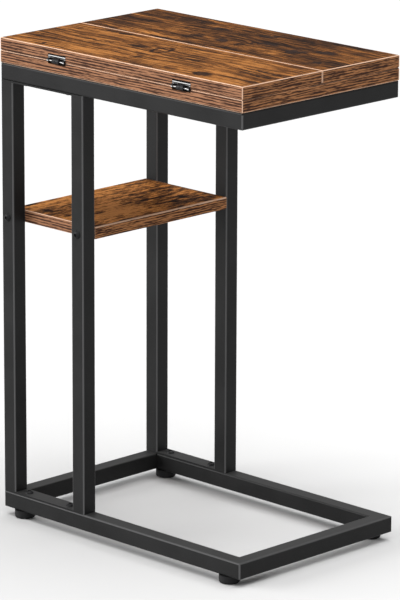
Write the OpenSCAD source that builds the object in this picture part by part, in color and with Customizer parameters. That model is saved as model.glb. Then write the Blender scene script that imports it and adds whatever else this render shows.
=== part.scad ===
// C-shaped side table: a rustic board top on a square-tube frame that is open on one
// end. The top has a fixed lower board and two half-width leaves that lie on it and
// fold outwards about hinges on the long sides.
// X runs from the post end (-X) to the open end (+X), Y from the near long side (-Y)
// to the far one (+Y), and Z is up. The origin is on the floor under the middle.

/* [Overall] */
// Length of the top and of the base frame, along X
table_l = 400; // [320:5:600]
// Width of the top and of the base frame, along Y
table_w = 260; // [220:5:400]
// Height of the closed top above the floor
table_h = 590; // [480:5:750]

/* [Boards] */
// Thickness of each folding leaf
leaf_t = 15; // [14:0.5:22]
// Thickness of the fixed lower board
lower_t = 15; // [14:0.5:22]
// Thickness of the shelf board
shelf_t = 15; // [12:0.5:22]
// Height of the shelf's upper face above the floor
shelf_top = 380; // [150:5:430]
// Gap between the lower board and the leaves that lie on it
layer_gap = 0.3; // [0.2:0.1:1]
// Gap between the two leaves along the middle of the top
split_gap = 0.6; // [0.4:0.1:2]
// Chamfer on the boards' edges
board_chamfer = 0.8; // [0.3:0.1:1.5]

/* [Frame] */
// Outer width of the square tube
tube = 20; // [18:1:30]
// Wall of the square tube
wall = 1.2; // [0.8:0.1:2]
// Outer corner radius of the square tube
tube_r = 2; // [1:0.1:3]
// Length of each side frame along X, over its two posts
side_l = 140; // [110:5:200]
// Thickness of the flat bars across the ends of the posts
bar_t = 2; // [1.5:0.5:4]

/* [Hinges] */
// Distance of a hinge's middle from the end of the top
hinge_end = 97; // [50:1:120]
// Width of a hinge along its pin
hinge_w = 29; // [26:1:40]
// Distance of the pin's axis outside the boards' long faces
hinge_out = 0.25; // [0.2:0.05:1]
// Diameter of the hinge pin
pin_d = 2.5; // [2:0.1:3]
// Outer radius of the middle knuckle
knuckle_r = 3.2; // [2.8:0.1:3.6]
// Width of the middle knuckle along the pin
knuckle_w = 11; // [8:0.5:12]
// Width of each ear that holds the pin's end
ear_w = 2.5; // [2:0.5:3]
// Outer radius of the ears
ear_r = 2.5; // [2.2:0.1:3]
// Thickness of the hinge's flanges
flange_t = 1.6; // [1.2:0.1:2.5]
// Depth of the flanges into the top
flange_d = 16; // [12:1:24]
// Upper edge of the arm's bar above the pin
bar_top = 6.8; // [5.5:0.1:8]
// Height of the arm's bar
bar_h = 3.2; // [1.8:0.1:3.2]
// Thickness of the arm's bar
bar_depth = 2; // [1.5:0.1:3]
// Height of the notch above the pin
notch_up = 8; // [7:0.1:10]
// Depth of the notch below the pin
notch_down = 4.2; // [4:0.1:6]
// Side clearance of a hinge in its notch
notch_side = 0.5; // [0.2:0.1:1]

/* [Fasteners] */
// Diameter of the machine bolts and of the levelling studs
bolt_d = 6; // [5:0.5:6]
// Head diameter of the button-head bolts
bolt_head_d = 10.5; // [9:0.5:12]
// Head height of the button-head bolts
bolt_head_h = 3.3; // [2.5:0.1:4]
// Length of the bolts that join the side frames to the base and the top frame
frame_bolt_l = 12; // [10:1:13]
// Distance of a frame bolt's axis from the inner face of the post beside it
frame_bolt_gap = 14; // [10:1:25]
// Depth to which a shelf bolt reaches into the shelf
shelf_bolt_grip = 13; // [10:1:20]
// Width across the flats of the weld nuts
nut_flats = 10; // [9:0.5:10]
// Thickness of the weld nuts
nut_t = 5; // [4:0.5:6]
// Outer diameter of the threaded inserts in the shelf
insert_d = 9; // [8:0.5:10]
// Length of the threaded inserts in the shelf
insert_l = 13; // [10:1:18]
// Shank diameter of the screws that hold the lower board to the top frame
board_screw_d = 4; // [3:0.5:5]
// Depth to which those screws reach into the lower board
board_screw_grip = 11; // [8:1:12]
// Head diameter of those screws
board_screw_head_d = 8; // [7:0.5:10]
// Distance of the long rails' last board screw from the open end
board_screw_end = 45; // [40:1:70]
// Distance of the long rails' first board screw from the side frame
board_screw_first = 40; // [20:1:60]
// Shank diameter of the countersunk hinge screws
hinge_screw_d = 2.6; // [2:0.1:3]
// Head diameter of the countersunk hinge screws
hinge_screw_head_d = 5.2; // [4.5:0.1:6]
// Length of the countersunk hinge screws
hinge_screw_l = 12; // [8:0.5:12.5]

/* [Feet] */
// Diameter of the round foot pads
pad_d = 25; // [20:1:34]
// Height of the foot pads
pad_h = 9.6; // [8.5:0.1:14]
// Gap between a pad and the rail above it with the foot screwed right in
pad_gap = 0.4; // [0.3:0.1:1]
// Radius of the pads' lower edge
pad_edge_r = 3; // [1:0.5:4]
// Distance of a foot's axis from the end of the base frame
foot_end = 26; // [20:1:28]
// Diameter of the disc on the lower end of a levelling stud
stud_disc_d = 11; // [9:0.5:13]
// Reach of a levelling stud into the rail
stud_reach = 13; // [12:0.5:13.5]

/* [Hidden] */
$fn = 48;

// Sides and ends, as signs along Y and X
NEAR = -1;
FAR = 1;
LEFT = -1;
RIGHT = 1;
BOTTOM = -1;
TOP = 1;

// Colours
steel = "#343434";
timber = "#96643c";
black_oxide = "#1c1c1c";
bright_steel = "#c4c4c2";
zinc = "#9a9c9e";
rubber = "#202020";

// Clearances
thread_clear = 0.02;
running_clear = 0.05;
hole_clear = 0.3;
mortise_clear = 0.1;
swing_clear = 0.4;
disc_clear = 0.1;
// Overcut of a cutting shape past the face that it opens
over = 1;

// Levels
base_z = pad_h + pad_gap;
base_top = base_z + tube;
leaf_z = table_h - leaf_t;
seam_z = leaf_z - layer_gap / 2;
lower_z = leaf_z - layer_gap - lower_t;
top_rail_z = lower_z - tube;
post_z = base_top + bar_t;
post_top = top_rail_z - bar_t;
shelf_z = shelf_top - shelf_t;
shelf_mid = shelf_z + shelf_t / 2;

// Places
half_l = table_l / 2;
half_w = table_w / 2;
rail_y = half_w - tube / 2;
side_x = -half_l + side_l / 2;
post_x = side_l / 2 - tube / 2;
frame_bolt_x = side_l / 2 - tube - frame_bolt_gap;
hinge_x = half_l - hinge_end;
foot_x = half_l - foot_end;
board_screw_xs = [-half_l + side_l + board_screw_first, half_l - board_screw_end];

// Hinge
pocket = knuckle_r + swing_clear;
arm_face = hinge_out + mortise_clear;
screw_spread = hinge_w / 4;
screw_in = pocket + flange_d / 2;
screw_head_h = (hinge_screw_head_d - hinge_screw_d) / 2;
recess_w = 0.7;
recess_depth = 1;
tip_h = 2;
grub_r = 1.1;
grub_key = 1.2;

// Hexagon's corner radius for a width across its flats
function hex_r(flats) = flats / 2 / cos(30);

// Outline helpers
module round_rect(w, h, r) {
    translate([r, 0]) square([w - 2 * r, h]);
    translate([0, r]) square([w, h - 2 * r]);
    for (x = [r, w - r], y = [r, h - r]) translate([x, y]) circle(r);
}

module tube_section() {
    inner_r = max(tube_r - wall, 0.3);
    difference() {
        round_rect(tube, tube, tube_r);
        translate([wall, wall]) round_rect(tube - 2 * wall, tube - 2 * wall, inner_r);
    }
}

// Tube along X that starts at x = 0, centred on the X axis
module tube_along_x(l) {
    translate([0, -tube / 2, -tube / 2])
        rotate([90, 0, 90]) linear_extrude(l) tube_section();
}

// Plan of one mitred rail in a welded frame with rounded outer corners
module long_rail_plan(side) {
    intersection() {
        translate([-half_l, -half_w]) round_rect(table_l, table_w, tube_r);
        polygon([
            [-half_l, side * half_w], [half_l, side * half_w],
            [half_l - tube, side * (half_w - tube)], [-half_l + tube, side * (half_w - tube)]
        ]);
    }
}

module short_rail_plan(end) {
    intersection() {
        translate([-half_l, -half_w]) round_rect(table_l, table_w, tube_r);
        polygon([
            [end * half_l, -half_w], [end * half_l, half_w],
            [end * (half_l - tube), half_w - tube], [end * (half_l - tube), -half_w + tube]
        ]);
    }
}

module long_rail(side, z) {
    intersection() {
        translate([-half_l, side * rail_y, z + tube / 2]) tube_along_x(table_l);
        translate([0, 0, z]) linear_extrude(tube) long_rail_plan(side);
    }
}

module short_rail(end, z) {
    intersection() {
        translate([end * (half_l - tube / 2), -half_w, z + tube / 2])
            rotate([0, 0, 90]) tube_along_x(table_w);
        translate([0, 0, z]) linear_extrude(tube) short_rail_plan(end);
    }
}

// Board with chamfered edges, from a corner at the origin
module board(l, w, t) {
    c = board_chamfer;
    intersection() {
        rotate([90, 0, 90]) linear_extrude(l)
            polygon([[c, 0], [w - c, 0], [w, c], [w, t - c], [w - c, t], [c, t], [0, t - c], [0, c]]);
        translate([0, w, 0]) rotate([90, 0, 0]) linear_extrude(w)
            polygon([[c, 0], [l - c, 0], [l, c], [l, t - c], [l - c, t], [c, t], [0, t - c], [0, c]]);
    }
}

// Bolt with a domed head above z = 0 and its shank below
module button_bolt(l) {
    r = bolt_head_d / 2;
    dome_r = (r * r + bolt_head_h * bolt_head_h) / (2 * bolt_head_h);
    socket_flats = bolt_d * 2 / 3;
    socket_deep = bolt_head_h * 0.6;
    difference() {
        union() {
            rotate_extrude() intersection() {
                translate([0, bolt_head_h - dome_r]) circle(dome_r);
                square([r, bolt_head_h]);
            }
            translate([0, 0, -l]) cylinder(d = bolt_d, h = l + bolt_head_h / 3);
        }
        translate([0, 0, bolt_head_h - socket_deep])
            cylinder(r = hex_r(socket_flats), h = socket_deep + over, $fn = 6);
    }
}

// Countersunk wood screw with its head's face at z = 0 and its point below
module countersunk_screw() {
    difference() {
        union() {
            translate([0, 0, -screw_head_h])
                cylinder(d1 = hinge_screw_d, d2 = hinge_screw_head_d, h = screw_head_h);
            translate([0, 0, -hinge_screw_l + tip_h])
                cylinder(d = hinge_screw_d, h = hinge_screw_l - tip_h - screw_head_h / 2);
            translate([0, 0, -hinge_screw_l])
                cylinder(d1 = hinge_screw_d / 4, d2 = hinge_screw_d, h = tip_h);
        }
        cross_recess(hinge_screw_head_d * 0.6);
    }
}

// Wood screw with a domed head above z = 0 and its point below
module pan_screw(l) {
    head_h = board_screw_head_d * 0.3;
    r = board_screw_head_d / 2;
    dome_r = (r * r + head_h * head_h) / (2 * head_h);
    difference() {
        union() {
            rotate_extrude() intersection() {
                translate([0, head_h - dome_r]) circle(dome_r);
                square([r, head_h]);
            }
            translate([0, 0, -l + tip_h]) cylinder(d = board_screw_d, h = l - tip_h + head_h / 3);
            translate([0, 0, -l]) cylinder(d1 = board_screw_d / 4, d2 = board_screw_d, h = tip_h);
        }
        translate([0, 0, head_h]) cross_recess(board_screw_head_d * 0.6);
    }
}

module cross_recess(span) {
    for (turn = [0, 90]) rotate([0, 0, turn])
        translate([-span / 2, -recess_w / 2, -recess_depth]) cube([span, recess_w, recess_depth + over]);
}

module hex_nut(bore_d) {
    difference() {
        cylinder(r = hex_r(nut_flats), h = nut_t, $fn = 6);
        translate([0, 0, -over]) cylinder(d = bore_d, h = nut_t + 2 * over);
    }
}

// Hole of diameter d that runs l upwards from z = 0
module hole(d, l) {
    cylinder(d = d, h = l);
}

// Places of what repeats
module at_frame_bolts(side) {
    for (dx = [-frame_bolt_x, frame_bolt_x]) translate([side_x + dx, side * rail_y, 0]) children();
}

module at_long_board_screws(side) {
    for (x = board_screw_xs) translate([x, side * rail_y, 0]) children();
}

module at_short_board_screw(end) {
    translate([end * (half_l - tube / 2), 0, 0]) children();
}

module at_feet(side) {
    for (end = [LEFT, RIGHT]) translate([end * foot_x, side * rail_y, 0]) children();
}

// Shelf bolts point inwards along Y from the posts' outer faces
module at_shelf_bolts(side) {
    for (dx = [-post_x, post_x]) translate([side_x + dx, side * half_w, shelf_mid])
        rotate([side * -90, 0, 0]) children();
}

// Hinge frame: X along the pin, +Y into the top, origin in the middle of the pin
module at_hinge(side, end) {
    translate([end * hinge_x, side * (half_w + hinge_out), seam_z])
        mirror([0, side == FAR ? 1 : 0, 0]) children();
}

module at_hinge_screws() {
    for (x = [-screw_spread, screw_spread]) translate([x, screw_in, 0]) children();
}

// Top frame and base frame
module top_rail_long(side) {
    color(steel) difference() {
        long_rail(side, top_rail_z);
        at_frame_bolts(side) translate([0, 0, top_rail_z - over]) hole(bolt_d + hole_clear, wall + 2 * over);
        at_long_board_screws(side)
            translate([0, 0, top_rail_z - over]) hole(board_screw_d + hole_clear, tube + 2 * over);
    }
}

module top_rail_short(end) {
    color(steel) difference() {
        short_rail(end, top_rail_z);
        at_short_board_screw(end)
            translate([0, 0, top_rail_z - over]) hole(board_screw_d + hole_clear, tube + 2 * over);
    }
}

module base_rail_long(side) {
    color(steel) difference() {
        long_rail(side, base_z);
        at_frame_bolts(side) translate([0, 0, base_top - wall - over]) hole(bolt_d + hole_clear, wall + 2 * over);
        at_feet(side) translate([0, 0, base_z - over]) hole(bolt_d + 2 * hole_clear, wall + 2 * over);
    }
}

module base_rail_short(end) {
    color(steel) short_rail(end, base_z);
}

// Side frames: two posts and two flat bars on each long side
module post(side, place) {
    color(steel) difference() {
        translate([side_x + place * post_x - tube / 2, side * rail_y - tube / 2, post_z])
            linear_extrude(post_top - post_z) tube_section();
        at_shelf_bolts(side) translate([0, 0, -tube - over]) hole(bolt_d + hole_clear, tube + 2 * over);
    }
}

module flat_bar(side, level) {
    z = level == TOP ? post_top : base_top;
    color(steel) difference() {
        translate([-half_l, side * rail_y - tube / 2, z]) linear_extrude(bar_t) round_rect(side_l, tube, tube_r);
        at_frame_bolts(side) translate([0, 0, z - over]) hole(bolt_d + hole_clear, bar_t + 2 * over);
    }
}

// Boards
module hinge_notch() {
    w = hinge_w + 2 * notch_side;
    translate([-w / 2, -over, -notch_down]) cube([w, pocket + over, notch_up + notch_down]);
}

// Mortise for a hinge's flange; level is BOTTOM in the lower board and TOP in a leaf
module flange_mortise(level) {
    w = hinge_w + 2 * mortise_clear;
    z = layer_gap / 2;
    mirror([0, 0, level == BOTTOM ? 1 : 0]) {
        translate([-w / 2, pocket - over, z - over])
            cube([w, flange_d + over + mortise_clear, flange_t + over]);
        at_hinge_screws() hole(hinge_screw_d + 2 * thread_clear, z + hinge_screw_l + thread_clear);
    }
}

module lower_board() {
    color(timber) difference() {
        translate([-half_l, -half_w, lower_z]) board(table_l, table_w, lower_t);
        for (side = [NEAR, FAR], end = [LEFT, RIGHT]) at_hinge(side, end) {
            hinge_notch();
            flange_mortise(BOTTOM);
        }
        translate([0, 0, lower_z - over]) {
            for (side = [NEAR, FAR]) at_long_board_screws(side) board_screw_pilot();
            for (end = [LEFT, RIGHT]) at_short_board_screw(end) board_screw_pilot();
        }
    }
}

module board_screw_pilot() {
    hole(board_screw_d + 2 * thread_clear, board_screw_grip + over + thread_clear);
}

module leaf(side) {
    w = half_w - split_gap / 2;
    color(timber) difference() {
        translate([-half_l, side == NEAR ? -half_w : split_gap / 2, leaf_z]) board(table_l, w, leaf_t);
        for (end = [LEFT, RIGHT]) at_hinge(side, end) {
            hinge_notch();
            flange_mortise(TOP);
        }
    }
}

module shelf() {
    w = table_w - 2 * tube;
    color(timber) difference() {
        translate([-half_l, -w / 2, shelf_z]) board(side_l, w, shelf_t);
        for (side = [NEAR, FAR]) at_shelf_bolts(side) {
            translate([0, 0, -tube - insert_l - thread_clear])
                hole(insert_d + 2 * thread_clear, insert_l + thread_clear + over);
            translate([0, 0, -tube - shelf_bolt_grip - hole_clear])
                hole(bolt_d + hole_clear, shelf_bolt_grip + over);
        }
    }
}

// Hinges
module hinge_base(side, end) {
    flange_z = -layer_gap / 2 - flange_t;
    color(black_oxide) at_hinge(side, end) difference() {
        union() {
            translate([-hinge_w / 2, pocket, flange_z]) cube([hinge_w, flange_d, flange_t]);
            translate([-knuckle_w / 2, 0, flange_z]) cube([knuckle_w, pocket + flange_d, flange_t]);
            translate([-knuckle_w / 2, 0, -knuckle_r]) cube([knuckle_w, pocket, knuckle_r - layer_gap / 2]);
            rotate([0, 90, 0]) cylinder(r = knuckle_r, h = knuckle_w, center = true);
        }
        rotate([0, 90, 0]) cylinder(d = pin_d + 2 * thread_clear, h = hinge_w, center = true);
        rotate([90, 0, 0]) hole(2 * (grub_r + thread_clear), knuckle_r + over);
        mirror([0, 0, 1]) translate([0, 0, layer_gap / 2]) countersinks();
    }
}

// Screw holes through a flange that starts at z = 0 and faces down
module countersinks() {
    d = hinge_screw_d + 2 * thread_clear;
    at_hinge_screws() {
        translate([0, 0, -over]) hole(d, flange_t + 2 * over);
        cylinder(d1 = hinge_screw_head_d + 2 * thread_clear, d2 = d, h = screw_head_h);
    }
}

module hinge_arm(side, end) {
    z = layer_gap / 2;
    color(black_oxide) at_hinge(side, end) difference() {
        union() {
            translate([-hinge_w / 2, pocket, z]) cube([hinge_w, flange_d, flange_t]);
            translate([-hinge_w / 2, arm_face, bar_top - bar_h]) cube([hinge_w, bar_depth, bar_h]);
            for (x = [-hinge_w / 2, hinge_w / 2 - ear_w]) translate([x, 0, 0]) {
                translate([0, arm_face, z]) cube([ear_w, pocket - arm_face, bar_top - z]);
                translate([0, arm_face, z]) cube([ear_w, pocket + flange_d - arm_face, flange_t]);
                rotate([0, 90, 0]) cylinder(r = ear_r, h = ear_w);
            }
        }
        rotate([0, 90, 0]) cylinder(d = pin_d + 2 * running_clear, h = hinge_w + over, center = true);
        translate([0, 0, z]) countersinks();
    }
}

module hinge_pin(side, end) {
    color(bright_steel) at_hinge(side, end)
        rotate([0, 90, 0]) cylinder(d = pin_d, h = hinge_w - 2 * mortise_clear, center = true);
}

module hinge_grub_screws() {
    l = knuckle_r - pin_d / 2 - 2 * thread_clear;
    for (side = [NEAR, FAR], end = [LEFT, RIGHT])
        color(black_oxide) at_hinge(side, end) rotate([90, 0, 0])
            translate([0, 0, pin_d / 2 + thread_clear]) difference() {
                cylinder(r = grub_r, h = l - mortise_clear);
                translate([0, 0, l / 2]) cylinder(r = hex_r(grub_key), h = l, $fn = 6);
            }
}

module hinge_base_screws() {
    for (side = [NEAR, FAR], end = [LEFT, RIGHT]) color(zinc) at_hinge(side, end)
        at_hinge_screws() translate([0, 0, -layer_gap / 2]) countersunk_screw();
}

module leaf_screws(side) {
    for (end = [LEFT, RIGHT]) color(zinc) at_hinge(side, end)
        at_hinge_screws() translate([0, 0, layer_gap / 2]) mirror([0, 0, 1]) countersunk_screw();
}

// Fasteners
module shelf_bolts() {
    for (side = [NEAR, FAR]) color(black_oxide) at_shelf_bolts(side) button_bolt(tube + shelf_bolt_grip);
}

module shelf_inserts() {
    for (side = [NEAR, FAR]) color(zinc) at_shelf_bolts(side)
        translate([0, 0, -tube - insert_l]) difference() {
            cylinder(d = insert_d, h = insert_l);
            translate([0, 0, -over]) cylinder(d = bolt_d + 2 * thread_clear, h = insert_l + 2 * over);
        }
}

module base_bolts() {
    for (side = [NEAR, FAR]) color(black_oxide) at_frame_bolts(side)
        translate([0, 0, post_z]) button_bolt(frame_bolt_l);
}

module base_weld_nuts() {
    for (side = [NEAR, FAR]) color(zinc) at_frame_bolts(side)
        translate([0, 0, base_top - wall - nut_t]) hex_nut(bolt_d + 2 * thread_clear);
}

module top_bolts() {
    for (side = [NEAR, FAR]) color(black_oxide) at_frame_bolts(side)
        translate([0, 0, post_top]) mirror([0, 0, 1]) button_bolt(frame_bolt_l);
}

module top_weld_nuts() {
    for (side = [NEAR, FAR]) color(zinc) at_frame_bolts(side)
        translate([0, 0, top_rail_z + wall]) hex_nut(bolt_d + 2 * thread_clear);
}

module board_screws() {
    for (side = [NEAR, FAR]) color(zinc) at_long_board_screws(side) board_screw();
    for (end = [LEFT, RIGHT]) color(zinc) at_short_board_screw(end) board_screw();
}

module board_screw() {
    translate([0, 0, top_rail_z]) mirror([0, 0, 1]) pan_screw(tube + board_screw_grip);
}

module foot_weld_nuts() {
    for (side = [NEAR, FAR]) color(zinc) at_feet(side)
        translate([0, 0, base_z + wall]) hex_nut(bolt_d + 2 * running_clear);
}

// Feet: a pad that snaps over the disc on the end of a levelling stud
disc_z = pad_h * 0.4;
disc_t = 2;

module foot_pad(side, end) {
    r = pad_d / 2;
    color(rubber) translate([end * foot_x, side * rail_y, 0]) rotate_extrude() difference() {
        union() {
            square([r - pad_edge_r, pad_h]);
            translate([0, pad_edge_r]) square([r, pad_h - pad_edge_r]);
            translate([r - pad_edge_r, pad_edge_r]) intersection() {
                circle(pad_edge_r);
                translate([0, -pad_edge_r]) square([pad_edge_r, pad_edge_r]);
            }
        }
        translate([0, disc_z - disc_clear]) square([stud_disc_d / 2 + disc_clear, disc_t + 2 * disc_clear]);
        translate([0, disc_z]) square([bolt_d / 2 + disc_clear, pad_h]);
    }
}

module foot_stud(side, end) {
    color(zinc) translate([end * foot_x, side * rail_y, disc_z]) {
        cylinder(d = stud_disc_d, h = disc_t);
        cylinder(d = bolt_d, h = base_z + stud_reach - disc_z);
    }
}

top_rail_long(NEAR);  // top_rail_near
top_rail_long(FAR);  // top_rail_far
top_rail_short(LEFT);  // top_rail_left
top_rail_short(RIGHT);  // top_rail_right
base_rail_long(NEAR);  // base_rail_near
base_rail_long(FAR);  // base_rail_far
base_rail_short(LEFT);  // base_rail_left
base_rail_short(RIGHT);  // base_rail_right
post(NEAR, LEFT);  // post_near_outer
post(NEAR, RIGHT);  // post_near_inner
post(FAR, LEFT);  // post_far_outer
post(FAR, RIGHT);  // post_far_inner
flat_bar(NEAR, TOP);  // flat_bar_near_top
flat_bar(NEAR, BOTTOM);  // flat_bar_near_bottom
flat_bar(FAR, TOP);  // flat_bar_far_top
flat_bar(FAR, BOTTOM);  // flat_bar_far_bottom
lower_board();
leaf(NEAR);  // leaf_near
leaf(FAR);  // leaf_far
shelf();
hinge_base(NEAR, LEFT);  // hinge_base_near_left
hinge_base(NEAR, RIGHT);  // hinge_base_near_right
hinge_base(FAR, LEFT);  // hinge_base_far_left
hinge_base(FAR, RIGHT);  // hinge_base_far_right
hinge_arm(NEAR, LEFT);  // hinge_arm_near_left
hinge_arm(NEAR, RIGHT);  // hinge_arm_near_right
hinge_arm(FAR, LEFT);  // hinge_arm_far_left
hinge_arm(FAR, RIGHT);  // hinge_arm_far_right
hinge_pin(NEAR, LEFT);  // hinge_pin_near_left
hinge_pin(NEAR, RIGHT);  // hinge_pin_near_right
hinge_pin(FAR, LEFT);  // hinge_pin_far_left
hinge_pin(FAR, RIGHT);  // hinge_pin_far_right
hinge_grub_screws();
hinge_base_screws();
leaf_screws(NEAR);  // leaf_near_screws
leaf_screws(FAR);  // leaf_far_screws
shelf_bolts();
shelf_inserts();
base_bolts();
base_weld_nuts();
top_bolts();
top_weld_nuts();
board_screws();
foot_weld_nuts();
foot_pad(NEAR, LEFT);  // foot_pad_near_left
foot_pad(NEAR, RIGHT);  // foot_pad_near_right
foot_pad(FAR, LEFT);  // foot_pad_far_left
foot_pad(FAR, RIGHT);  // foot_pad_far_right
foot_stud(NEAR, LEFT);  // foot_stud_near_left
foot_stud(NEAR, RIGHT);  // foot_stud_near_right
foot_stud(FAR, LEFT);  // foot_stud_far_left
foot_stud(FAR, RIGHT);  // foot_stud_far_right
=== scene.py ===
import math

import bpy
from bpy.props import FloatProperty, FloatVectorProperty, IntProperty, PointerProperty
from mathutils import Matrix, Vector


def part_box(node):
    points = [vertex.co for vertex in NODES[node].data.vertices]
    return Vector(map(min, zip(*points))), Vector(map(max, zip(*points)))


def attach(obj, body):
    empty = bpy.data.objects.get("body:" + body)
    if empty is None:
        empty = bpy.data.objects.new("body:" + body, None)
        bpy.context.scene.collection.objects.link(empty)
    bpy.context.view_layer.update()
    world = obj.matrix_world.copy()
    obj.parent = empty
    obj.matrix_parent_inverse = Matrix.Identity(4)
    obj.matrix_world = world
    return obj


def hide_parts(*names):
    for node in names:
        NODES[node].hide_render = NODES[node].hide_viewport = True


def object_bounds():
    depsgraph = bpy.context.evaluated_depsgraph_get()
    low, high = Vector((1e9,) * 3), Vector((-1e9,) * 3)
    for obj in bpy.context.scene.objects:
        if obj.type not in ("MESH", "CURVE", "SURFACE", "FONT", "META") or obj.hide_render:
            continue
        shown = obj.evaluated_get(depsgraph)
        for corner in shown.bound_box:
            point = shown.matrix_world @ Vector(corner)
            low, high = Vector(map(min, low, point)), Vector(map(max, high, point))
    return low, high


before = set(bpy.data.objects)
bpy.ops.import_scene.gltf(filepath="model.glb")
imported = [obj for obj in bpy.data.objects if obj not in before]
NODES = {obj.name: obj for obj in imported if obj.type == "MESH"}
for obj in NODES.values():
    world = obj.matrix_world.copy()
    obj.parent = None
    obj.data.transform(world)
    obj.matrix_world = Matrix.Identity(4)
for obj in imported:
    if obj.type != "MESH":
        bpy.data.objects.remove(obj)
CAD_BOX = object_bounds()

bl_info = {
    "name": "C-Shaped Side Table",
    "version": (1, 0, 0),
    "blender": (4, 5, 0),
    "location": "3D View > Sidebar > Side Table",
    "description": "Finishes, fasteners, feet and studio of a c-shaped side table with a folding top",
    "category": "Object",
}

MM = 0.001
# Longer side of the picture in pixels, and how far the camera sees in metres
PHOTO_LONG_SIDE = 600
CLIP_END = 100.0
# Each light's setting, the way towards it and its spread in degrees
LIGHTS = (
    ("key", (-0.68, -0.67, 0.30), 40), ("top", (0.1, 0.1, 1.0), 70), ("front", (0.68, -0.70, 0.26), 25),
    ("back", (-0.68, 0.69, 0.26), 40),
)
WHITE = (1.0, 1.0, 1.0, 1.0)
UP = (0, 0, 1)
DOWN = (0, 0, -1)
# A box's lowest and highest corners
LOW = 0
HIGH = 1
SIDES = ("near", "far")
ENDS = ("left", "right")
CORNERS = [f"{side}_{end}" for side in SIDES for end in ENDS]
FRAME_NODES = [name for name in NODES if "_rail_" in name or name.startswith(("post_", "flat_bar_"))]


def colour_prop(name, description, default):
    return FloatVectorProperty(name=name, description=description, subtype="COLOR", size=3,
                               min=0.0, max=1.0, default=default)


def length_prop(name, description, millimetres):
    return FloatProperty(name=name, description=description, subtype="DISTANCE", unit="LENGTH",
                         min=0.0, precision=4, default=millimetres * MM)


def angle_prop(name, description, degrees):
    return FloatProperty(name=name, description=description, subtype="ANGLE", unit="ROTATION",
                         default=math.radians(degrees))


def number_prop(name, description, default):
    return FloatProperty(name=name, description=description, min=0.0, default=default)


class BoardLook(bpy.types.PropertyGroup):
    """Rustic board finish of the leaves, the lower board and the shelf"""
    pale: colour_prop("Pale wood", "Lightest wood of the figure", (0.31, 0.126, 0.032))
    middle: colour_prop("Middle wood", "Main brown of the figure", (0.135, 0.048, 0.011))
    dark: colour_prop("Dark wood", "Streaks and knots", (0.042, 0.018, 0.008))
    black: colour_prop("Darkest wood", "Cracks and knot hearts", (0.010, 0.006, 0.005))
    edge: colour_prop("Edge band", "Pinkish tan of the long edges", (0.290, 0.139, 0.074))
    edge_dark: colour_prop("Edge dashes", "Dark dashes of the edges", (0.040, 0.019, 0.013))
    stain: colour_prop("Stain", "Purple-grey of the stained patches", (0.040, 0.024, 0.019))
    worn: colour_prop("Worn edge", "Pale line along the corners", (0.51, 0.33, 0.23))
    # Raw board core, kept dark so that it is also painted shade inside the holes, slots and notches
    core: colour_prop("Board core", "Raw board inside holes and slots", (0.05, 0.035, 0.024))
    # Painted light: the shelf's wood colours are made lighter to make up for the shade that the top casts on
    # it
    shelf_lift: number_prop("Shelf lift", "How much lighter the shelf's wood is than the top's", 1.62)
    worn_width: length_prop("Worn width", "Width of the pale line along a corner", 0.88)
    skin: length_prop("Skin", "Depth of the finish over the raw board", 0.9)


class MetalLook(bpy.types.PropertyGroup):
    """Finishes of the frame, the hardware and the feet"""
    coat: colour_prop("Powder coat", "Black coat of the frame", (0.0092, 0.0092, 0.0093))
    # Colour of the painted highlight on the tubes' rounded corners, which stands for the light that they
    # catch
    corner_highlight: colour_prop("Rounded corners", "Coat that thins over the tubes' corners", (0.080, 0.080, 0.081))
    # Colour of the upper faces: a little dust, and a painted sheen that stands for the light from above
    dust: colour_prop("Dust", "Coat of the upper faces, under a little dust", (0.030, 0.030, 0.030))
    oxide: colour_prop("Black oxide", "Black hardware", (0.007, 0.007, 0.0075))
    # Colour of the scratches, and of the hinges' painted highlight lines
    bright: colour_prop("Bright steel", "Rubbed lines and scratches", (0.60, 0.60, 0.59))
    zinc: colour_prop("Zinc", "Zinc plated screws, nuts and studs", (0.55, 0.57, 0.60))
    rubber: colour_prop("Rubber", "Foot pads", (0.009, 0.009, 0.0095))
    peel: length_prop("Orange peel", "Width of the coat's ripples", 1.1)
    tube_corner: length_prop("Tube corner", "Corner radius of the frame's tubes", 2.0)
    knuckle: length_prop("Knuckle", "Width of a hinge's middle knuckle, which stays black", 11.0)
    second_line: length_prop("Second line", "Height of a hinge's faint line over its axis", 3.4)
    upper_line: length_prop("Upper line", "Depth of a hinge's upper line under the arm's top", 1.2)


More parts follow.
